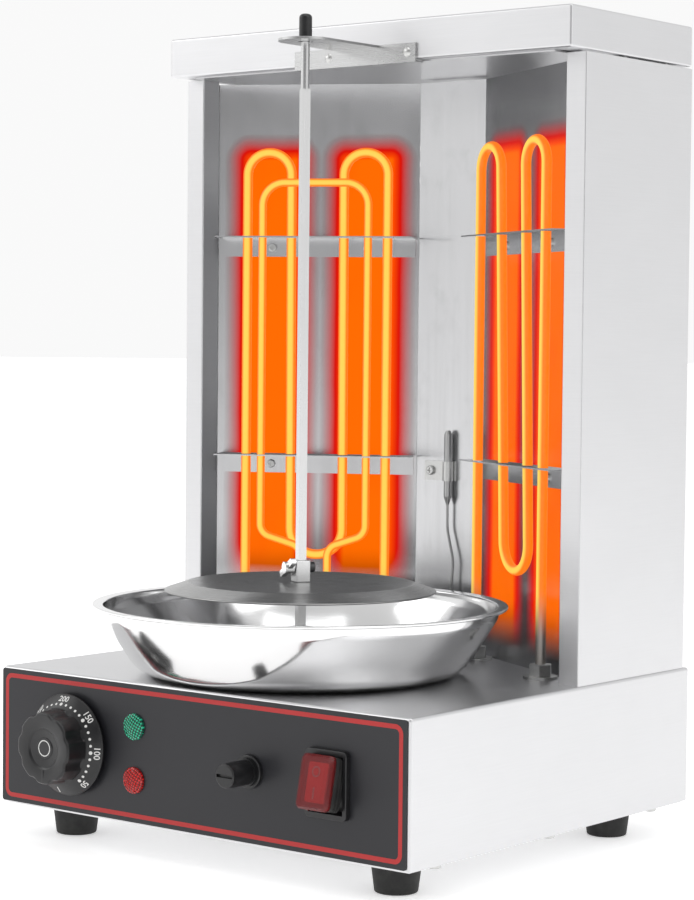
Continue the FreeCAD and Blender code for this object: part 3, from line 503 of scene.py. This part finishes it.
# ---- Indicator lamps ----
# Green and red lenses with a smooth rim and a slightly domed face of small moulded pyramids.
def lens_finish(name, deep, bright):
    """Clear coloured plastic glowing as a lamp, with a painted highlight in the middle of each pyramid."""
    lens = Finish(name, {"Roughness": 0.2, "Coat Weight": 0.15, "Coat Roughness": 0.05,
                         "Emission Strength": 0.45, "Subsurface Weight": 0.25,
                         "Subsurface Radius": Vector((0.002, 0.002, 0.002))})
    across = lens.place.along((1.0, 0.0, 0.35)) * 2600.0
    up = lens.place.along((-0.35, 0.0, 1.0)) * 2600.0
    # Painted highlight: bright patches in a criss-cross over the face, in both the colour and the glow.
    painted_facet_highlights = (across.sine() * up.sine()).rise(-0.2, 0.8)
    lens.set({"Base Color": painted_facet_highlights.between(deep, bright), "Emission Color": painted_facet_highlights.between(deep, bright)})
    return lens


def facet_dome(r, rise):
    """Shallow dome covered with small pyramids, and a straight skirt down into the rim."""
    rows, pyramid_h, skirt_h = 15, 0.32 * mm, 1.2 * mm
    pitch = 2 * r / rows
    count = rows * 4
    bm = bmesh.new()
    grid = {}
    for i in range(count + 1):
        for j in range(count + 1):
            x, y = -r + i * 2 * r / count, -r + j * 2 * r / count
            away = math.hypot(x, y)
            if away > r * 1.001:
                continue
            off_peak = max(abs((x / pitch) % 1 - 0.5), abs((y / pitch) % 1 - 0.5))
            bump = (0.5 - off_peak) * 2 * pyramid_h if away < r * 0.9 else 0.0
            grid[i, j] = bm.verts.new((x, y, rise * (1 - (away / r) ** 2) + bump))
    for i in range(count):
        for j in range(count):
            corners = [grid.get(k) for k in ((i, j), (i + 1, j), (i + 1, j + 1), (i, j + 1))]
            if all(corners):
                bm.faces.new(corners)
    skirt = bmesh.ops.extrude_edge_only(bm, edges=[e for e in bm.edges if e.is_boundary])["geom"]
    for item in skirt:
        if isinstance(item, bmesh.types.BMVert):
            item.co.z = -skirt_h
    bmesh.ops.contextual_create(bm, geom=[e for e in bm.edges if e.is_boundary])
    return bm


for colour, deep, bright in (("green", (0.0, 0.035, 0.02), (0.02, 0.42, 0.24)),
                             ("red", (0.13, 0.002, 0.002), (0.52, 0.012, 0.01))):
    lens = lens_finish("lens_" + colour, deep, bright)
    low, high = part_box("lamp_lens_" + colour)
    lamp_at = on_front((low.x + high.x) / 2, (low.z + high.z) / 2)
    rim_r = (high.x - low.x) / 2
    rim_steps = [(5.6 * mm, 0.0), (rim_r, 0.0), (rim_r, 0.9 * mm),
                 (rim_r - 0.9 * mm, 1.8 * mm, rim_r - 0.25 * mm, 1.55 * mm), (6.2 * mm, 1.7 * mm),
                 (5.6 * mm, 1.2 * mm)]
    fit("lamp_rim_" + colour, turned(rim_steps, 96), "oven_body", lens,
        ["lamp_lens_" + colour], lamp_at)
    fit("lamp_face_" + colour, facet_dome(5.9 * mm, 1.3 * mm), "oven_body", lens,
        at=lamp_at @ Matrix.Translation((0, 0, 1.6 * mm)), crease=20)


# ---- Fuse holder ----
# Panel fuse holder in glossy black: a stepped round flange, and a slotted bayonet cap.
fuse_low, fuse_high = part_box("fuse_cap")
fuse_x, fuse_z = (fuse_low.x + fuse_high.x) / 2, (fuse_low.z + fuse_high.z) / 2
cap_r, cap_top = (fuse_high.x - fuse_low.x) / 2, panel_y - fuse_low.y
dress(["fuse_holder"], black_moulding)
cap_steps = [(0.0, 4.5 * mm), (cap_r, 4.5 * mm), (cap_r, 5.6 * mm), (cap_r, 8.0 * mm),
             (cap_r, cap_top - 5.0 * mm), (cap_r - 0.25 * mm, cap_top - 4.2 * mm),
             (cap_r - 0.3 * mm, cap_top - 0.9 * mm),
             (cap_r - 1.2 * mm, cap_top, cap_r - 0.55 * mm, cap_top - 0.25 * mm), (0.0, cap_top)]
fuse_cap = turned(cap_steps, 288)
slot_half_w, slot_half_l, slot_depth = 0.9 * mm, 5.4 * mm, 1.6 * mm
for side in (-1, 1):
    bmesh.ops.bisect_plane(fuse_cap, geom=fuse_cap.verts[:] + fuse_cap.edges[:] + fuse_cap.faces[:],
                           plane_co=(0, side * slot_half_w, 0), plane_no=(0, side, 0))
slot_faces = []
for face in fuse_cap.faces:
    middle = face.calc_center_median()
    in_slot = abs(middle.y) < slot_half_w - 0.02 * mm and abs(middle.x) < slot_half_l
    if middle.z > cap_top - 0.05 * mm and in_slot:
        slot_faces.append(face)
sunk = bmesh.ops.extrude_face_region(fuse_cap, geom=slot_faces)
for item in sunk["geom"]:
    if isinstance(item, bmesh.types.BMVert):
        item.co.z = cap_top - slot_depth
bmesh.ops.delete(fuse_cap, geom=slot_faces, context="FACES")
fit("fuse_cap_moulding", fuse_cap, "fuse_cap", black_moulding, ["fuse_cap"],
    on_front(fuse_x, fuse_z), 28)


# ---- Rocker switch ----
# Sealed rocker: a black snap-in frame, a rubber bellows boot, and a clear red cover over a bright
# red rocker with its circle and line marks.
switch_low, switch_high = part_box("switch_body")
switch_x, switch_z = (switch_low.x + switch_high.x) / 2, (switch_low.z + switch_high.z) / 2
rocker_tilt, pivot_out = -12.0 * deg, 1.0 * mm
rocker_at = (Matrix.Translation((switch_x, panel_y - pivot_out, switch_z))
             @ Matrix.Rotation(rocker_tilt + 90 * deg, 4, "X") @ Matrix.Translation((0, 0, -pivot_out)))
dress(["switch_body"], black_moulding)

rubber = Finish("black_rubber", {"Specular IOR Level": 0.3})
rubber_bloom = rubber.place.grain((120.0, 120.0, 120.0), 5.0, 0.6)
rubber.set({"Base Color": rubber_bloom.rise(0.4, 0.75).between((0.020, 0.020, 0.020), (0.036, 0.036, 0.034)),
            "Roughness": rubber_bloom * 0.2 + 0.5})
rubber.relief(rubber.place.grain((1500.0, 1500.0, 1500.0), 2.0), 0.00004, 0.6)


def stacked(layers, cap_ends=True):
    """Closed body through outlines at rising heights, all with the same number of points."""
    bm = bmesh.new()
    rings = [[bm.verts.new((x, y, h)) for x, y in outline] for outline, h in layers]
    count = len(rings[0])
    for low, high in zip(rings, rings[1:]):
        for i in range(count):
            bm.faces.new((low[i], low[(i + 1) % count], high[(i + 1) % count], high[i]))
    if cap_ends:
        bm.faces.new(rings[0])
        bm.faces.new(rings[-1])
    return bm


boot_w, boot_h = 22.4, 28.4
boot_layers = []
for height, shrink in ((2.5, 0.3), (3.3, 0.0), (3.7, 0.9), (4.5, 0.9), (4.9, 0.0), (5.9, 0.0),
                       (6.3, 0.9), (7.1, 0.9), (7.5, 0.0), (8.6, 0.0), (9.8, 0.3)):
    outline = rounded_outline((boot_w - 2 * shrink) * mm, (boot_h - 2 * shrink) * mm, 2.4 * mm, 5)
    boot_layers.append((outline, height * mm))
fit("switch_bellows", soften(stacked(boot_layers), 0.15 * mm, 25), "rocker", rubber,
    ["switch_boot"], rocker_at, 50)

# Painted light: the rocker glows though no lamp lights it, and its red is painted lighter towards the top.
red_rocker = Finish("rocker_red", {"Roughness": 0.3, "Emission Strength": 0.55})
painted_rocker_light = red_rocker.place.along((0.0, 0.0, 1.0)).rise(switch_z - 12 * mm, switch_z + 12 * mm)
red_rocker.set({"Base Color": painted_rocker_light.between((0.62, 0.012, 0.010), (0.80, 0.020, 0.018)),
                "Emission Color": painted_rocker_light.between((0.75, 0.012, 0.008), (0.85, 0.02, 0.012))})
rocker_layers = [(rounded_outline(w * mm, h * mm, 1.2 * mm, 4), z * mm)
                 for w, h, z in ((13.0, 21.0, 9.8), (13.0, 21.0, 10.6), (10.6, 18.0, 12.2))]
fit("rocker_button", soften(stacked(rocker_layers), 0.25 * mm), "rocker", red_rocker,
    at=rocker_at, crease=40)

mark_out = 5.6 * mm
outer_oval = [(x * 2.7, mark_out + y * 2.9) for x, y in circle(mm, 45)]
inner_oval = [(x * 1.9, mark_out + y * 2.1) for x, y in circle(mm, 45)]
marks = band(bmesh.new(), outer_oval, inner_oval, 12.15 * mm, 12.3 * mm)
add_block(marks, (0.95 * mm, 6.0 * mm, 0.15 * mm), Matrix.Translation((0, -mark_out, 12.22 * mm)))
fit("rocker_marks", marks, "rocker", white_ink, at=rocker_at)

clear_red = Finish("clear_red_cover", {"Base Color": (0.20, 0.008, 0.010), "Roughness": 0.16, "Alpha": 0.55,
                                       "Coat Weight": 0.2, "Coat Roughness": 0.06})
clear_red.relief(clear_red.place.grain((400.0, 400.0, 400.0), 2.0), 0.00004, 0.4)
cover_layers = [(rounded_outline(w * mm, h * mm, r * mm, 7), z * mm)
                for w, h, r, z in ((20.4, 27.8, 2.6, 9.82), (21.6, 29.0, 3.0, 10.2), (21.6, 29.0, 3.0, 11.8),
                                   (19.2, 26.6, 2.4, 13.4), (17.2, 24.6, 1.8, 13.4), (19.4, 26.8, 2.4, 11.6),
                                   (19.4, 26.8, 2.4, 9.82))]
cover = stacked(cover_layers, cap_ends=False)
face_outline = rounded_outline(17.2 * mm, 24.6 * mm, 1.8 * mm, 7)
cover.from_mesh(mesh_from(stacked([(face_outline, 12.7 * mm), (face_outline, 13.4 * mm)]), "cover_face"))
bmesh.ops.remove_doubles(cover, verts=cover.verts, dist=1e-6)
fit("switch_cover", cover, "rocker", clear_red, ["switch_window"], rocker_at, 30)


# ---- Rubber feet and screws ----
# Four tapered moulded feet, each held by a screw up through a recess in its underside.
dress(["foot_front_left", "foot_front_right", "foot_rear_left", "foot_rear_right"], rubber)
zinc = Finish("zinc_plate", {"Metallic": 1.0})
spangle = zinc.place.grain((500.0, 500.0, 500.0), 4.0, 0.6)
zinc.set({"Base Color": spangle.between((0.52, 0.52, 0.51), (0.70, 0.70, 0.69)),
          "Roughness": spangle * 0.2 + 0.22})
zinc.relief(spangle, 0.00003, 0.4)
dress(["foot_screws", "casing_screws", "reflector_screws", "machine_screws", "heater_glands", "motor_can",
       "gearbox_case", "last_pinion", "drive_coupling", "thermostat_spindle", "bracket_rivets", "bulb_clip"],
      zinc)


# ---- Reflectors and heaters ----
# Three upright sheets of bright stainless behind bent tubular elements. The heaters' light on the side
# sheets is painted on
# as a glow: orange inside the bends, red round them, fading to bare steel past the outer legs and near the
# deck.
reflector_turn = math.atan2(62.5, 111.4)
reflector_half_w = 25.0 * mm        # half the rear sheet, where the side sheets start
tube_top = 404.8 * mm
tube_mid, tube_outer, tube_inner = 62.0 * mm, 44.0 * mm, 16.5 * mm      # along a side sheet
painted_light_reach, fade_in = 17 * mm, 34 * mm


def bright_sheet(name):
    """Bright sheet with upright streaks, smears and a little soot."""
    sheet = Finish(name, {"Metallic": 1.0})
    streaks = sheet.place.grain((260.0, 260.0, 7.0), 4.0, 0.6)
    smears = sheet.place.grain((22.0, 22.0, 10.0), 4.0, 0.6)
    soot = sheet.place.grain((60.0, 60.0, 40.0), 5.0, 0.65).rise(0.5, 0.8)
    sheet.set({"Base Color": (streaks * 0.5 + soot * 0.35).between((0.66, 0.66, 0.67), (0.50, 0.50, 0.505)),
               "Roughness": smears * 0.12 + streaks * 0.08 + 0.14})
    sheet.relief(smears + streaks * 0.2, 0.0002, 0.25)
    return sheet


def painted_glow_sheet(name, side, lowest):
    """Reflector sheet with its heater's light painted on as a glow, and its colour painted darker under the
    glow. side is -1 for the left sheet and 1 for the right.
    """
    sheet = bright_sheet(name)
    corner_x, corner_y = side * reflector_half_w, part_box("reflector_centre")[0].y
    run = (side * math.cos(reflector_turn), -math.sin(reflector_turn), 0.0)
    reach = sheet.place.along(run) - (corner_x * run[0] + corner_y * run[1])
    height = sheet.place.along((0.0, 0.0, 1.0))
    off_middle = abs(reach - tube_mid)
    sideways = (tube_inner - off_middle).larger(off_middle - tube_outer).larger(0.0)
    above = (height - (tube_top - 4 * mm)).larger(0.0)
    wobble = (sheet.place.grain((30.0, 30.0, 18.0), 3.0) - 0.5) * 2 * mm
    out = (sideways * sideways + above * above).root() + wobble
    lower = height.rise(lowest, lowest + fade_in)
    share = (out / painted_light_reach).smaller(1.0).larger(0.0)
    # Painted light: the heaters' glow is painted into the sheet's emission, brightest next to the tubes.
    painted_heater_light = share.node("ValToRGB", {0: share}, stops=[
        (0.0, (1.0, 0.150, 0.0)), (1.0, (0.0, 0.0, 0.0)), (0.14, (0.95, 0.060, 0.0)),
        (0.34, (0.72, 0.006, 0.002)), (0.62, (0.30, 0.006, 0.008)), (0.84, (0.06, 0.003, 0.004))])
    # Painted shade under the painted glow: the steel's colour goes nearly black where the glow is strongest.
    heat = ((1.0 - share) * lower * 1.6).smaller(1.0)
    bare = Shade(sheet.tree, sheet.shader.inputs["Base Color"].links[0].from_socket)
    sheet.set({"Emission Color": lower.between((0.0, 0.0, 0.0), painted_heater_light), "Emission Strength": 1.0,
               "Base Color": heat.between(bare, (0.02, 0.004, 0.002))})
    return sheet


bright = bright_sheet("bright_sheet")
dress(["reflector_centre", "ceiling_plate", "heater_supports_left", "heater_supports_right"], bright)
dress(["reflector_left"], painted_glow_sheet("heated_sheet_left", -1, 128 * mm))
dress(["reflector_right"], painted_glow_sheet("heated_sheet_right", 1, 106 * mm))


def hot_tube(name, side):
    """Heater sheath: glowing orange round its flanks, with a painted yellow highlight on the side turned to
    the spit, and grey at its ends.
    """
    tube = Finish(name, {"Roughness": 0.5, "Emission Strength": 1.0})
    height = tube.place.along((0.0, 0.0, 1.0))
    outward = (side * -math.sin(reflector_turn), -math.cos(reflector_turn), 0.0)
    # Painted highlight: the side facing the spit is painted yellow, brighter than the orange flanks.
    painted_front_highlight = tube.facing.along(outward).rise(0.62, 1.0)
    scale = tube.place.grain((700.0, 700.0, 300.0), 3.0)
    heat = height.rise(118 * mm, 152 * mm)
    glow_with_painted_highlight = (painted_front_highlight * 0.92 + scale * 0.12).between((1.0, 0.17, 0.0), (1.0, 0.66, 0.09))
    tube.set({"Emission Color": heat.between((0.0, 0.0, 0.0), glow_with_painted_highlight), "Metallic": 1.0 - heat,
              "Base Color": heat.between((0.50, 0.47, 0.44), (0.10, 0.02, 0.0))})
    tube.relief(scale, 0.00005, 0.4)
    return tube


dress(["heater_left", "heater_left_inner"], hot_tube("hot_tube_left", -1))
dress(["heater_right"], hot_tube("hot_tube_right", 1))
for name in ("heater_left", "heater_left_inner", "heater_right", "reflector_left", "reflector_right"):
    nodes[name].visible_glossy = False


# ---- Thermostat bulb ----
# Nickel-plated bulb clipped to the rear sheet, its capillary running down through the deck.
nickel = Finish("nickel", {"Metallic": 1.0})
nickel_tarnish = nickel.place.grain((300.0, 300.0, 120.0), 4.0)
nickel.set({"Base Color": nickel_tarnish.between((0.34, 0.34, 0.34), (0.56, 0.56, 0.56)),
            "Roughness": nickel_tarnish * 0.2 + 0.22})
dress(["thermostat_bulb", "capillary"], nickel)


# ---- Drip bowl ----
# Spun stainless bowl with a flat rolled rim and a raised collar round the drive, polished all over.
bowl_low, bowl_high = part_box("drip_bowl")
spit_y = (bowl_low.y + bowl_high.y) / 2
polished = Finish("polished_steel", {"Metallic": 1.0})
round_bowl = polished.node("CombineXYZ", {0: polished.place.from_line(spit_y),
                                          1: polished.place.along((0.0, 0.0, 1.0))})
rings_in = round_bowl.grain((1400.0, 1400.0, 1.0), 4.0, 0.6)
wipe = polished.place.grain((40.0, 40.0, 40.0), 4.0)
polished.set({"Base Color": wipe.between((0.80, 0.80, 0.80), (0.88, 0.88, 0.88)),
              "Roughness": rings_in * 0.06 + wipe.rise(0.45, 0.8) * 0.08 + 0.10})
polished.relief(rings_in, 0.00002, 0.3)
bowl_steps = [(10.6, 18), (10.6, 4.6), (12.0, 3.2, 11.0, 3.6), (57.4, 3.2), (59.0, 2.6, 58.4, 3.0),
              (62.4, 0.5), (64.0, 0.0, 63.2, 0.1), (80.0, 0.0), (97.5, 9.3, 89.9, 2.5), (105.0, 20.6),
              (112.0, 32.0), (113.6, 38.8, 113.3, 35.0), (114.4, 39.3, 113.8, 39.2), (118.0, 39.2),
              (118.8, 40.1, 118.6, 39.5),
              (118.0, 41.0, 118.6, 40.8), (113.6, 40.6), (112.6, 39.6, 112.9, 40.3),
              (111.2, 32.4, 112.3, 36.0), (104.2, 21.3), (96.7, 9.9), (80.0, 1.0, 89.4, 3.4), (64.4, 1.0),
              (62.9, 1.5, 63.5, 1.1), (59.6, 3.7), (58.0, 4.2, 59.0, 4.1), (13.4, 4.2),
              (11.6, 6.0, 12.1, 4.7), (11.6, 18)]
bowl_at = Matrix.Translation((0, spit_y, bowl_low.z))
bowl = turned([tuple(v * mm for v in step) for step in bowl_steps], 256)
fit("bowl_spun", bowl, "drip_bowl", polished, ["drip_bowl"], bowl_at, 50)


# ---- Meat disc ----
# Flat disc with a bevelled edge, turned on a lathe, so its top shows fine rings.
disc_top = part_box("meat_disc")[1].z
disc_steel = Finish("disc_steel", {"Metallic": 1.0})
round_disc = disc_steel.node("CombineXYZ", {0: disc_steel.place.from_line(spit_y)})
lathe_rings = round_disc.grain((2200.0, 1.0, 1.0), 4.0, 0.7)
grease = disc_steel.place.grain((60.0, 60.0, 60.0), 5.0, 0.6).rise(0.45, 0.75)
worn = lathe_rings * 0.6 + grease * 0.4
disc_steel.set({"Base Color": worn.between((0.42, 0.42, 0.42), (0.28, 0.28, 0.275)),
                "Roughness": lathe_rings * 0.16 + grease * 0.06 + 0.20})
disc_steel.relief(lathe_rings, 0.00005, 0.5)
disc_steps = [(3.2, 0.0), (64.0, 0.0), (66.0, -0.5, 65.0, -0.12), (77.2, -4.3), (77.8, -4.9, 77.6, -4.5),
              (77.2, -5.4, 77.6, -5.3), (76.6, -5.2), (65.4, -1.7), (63.8, -1.2, 64.6, -1.3), (3.2, -1.2)]
disc = turned([tuple(v * mm for v in step) for step in disc_steps], 256)
fit("disc_plate", disc, "disc", disc_steel, ["meat_disc"],
    Matrix.Translation((0, spit_y, disc_top)), 25)


# ---- Spit, collar and screws ----
# Square bar turned round at its top, with a plastic end cap. A block slides on it over the disc and
# is clamped by a thumb screw.
spit_steel = brushed("spit_steel", (0.72, 0.72, 0.72), 0.22, (1500.0, 1500.0, 20.0))
dress(["spit_bar", "collar_block"], spit_steel)
dress(["spit_cap"], black_moulding)
dress(["wing_screw"], polished)
dark_steel = Finish("dark_steel", {"Metallic": 1.0})
oxide = dark_steel.place.grain((600.0, 600.0, 600.0), 4.0)
dark_steel.set({"Base Color": oxide.between((0.05, 0.05, 0.055), (0.12, 0.12, 0.12)),
                "Roughness": oxide * 0.2 + 0.3})
dress(["collar_screw"], dark_steel)


# ---- Inside the base ----
# Parts that show only from below or through the slots: drive, thermostat, terminals and wiring ends.
def plain_moulding(name, colour, roughness):
    """Plain moulded plastic or ceramic."""
    plastic = Finish(name, {})
    mottle = plastic.place.grain((250.0, 250.0, 250.0), 4.0)
    plastic.set({"Base Color": mottle.between(tuple(c * 0.9 for c in colour), colour),
                 "Roughness": mottle * 0.12 + roughness})
    plastic.relief(mottle, 0.00004, 0.3)
    return plastic


dress(["lamp_body_green", "lamp_body_red", "thermostat_body"],
      plain_moulding("white_plastic", (0.80, 0.80, 0.77), 0.4))
dress(["terminal_block"], plain_moulding("ceramic", (0.85, 0.84, 0.79), 0.5))
dress(["output_gear"], plain_moulding("gear_nylon", (0.82, 0.79, 0.68), 0.45))
dress(["cable_gland"], plain_moulding("gland_black", (0.03, 0.03, 0.032), 0.4))
brass = Finish("brass", {"Metallic": 1.0})
brass_age = brass.place.grain((400.0, 400.0, 400.0), 4.0)
brass.set({"Base Color": brass_age.between((0.62, 0.42, 0.18), (0.78, 0.58, 0.28)),
           "Roughness": brass_age * 0.2 + 0.2})
dress(["heater_terminals", "drive_bush"], brass)
glass = Finish("fuse_glass", {"Metallic": 0.8, "Base Color": (0.8, 0.82, 0.82)})
glass.set({"Roughness": glass.place.grain((300.0, 300.0, 300.0)) * 0.1 + 0.1})
dress(["fuse_link"], glass)
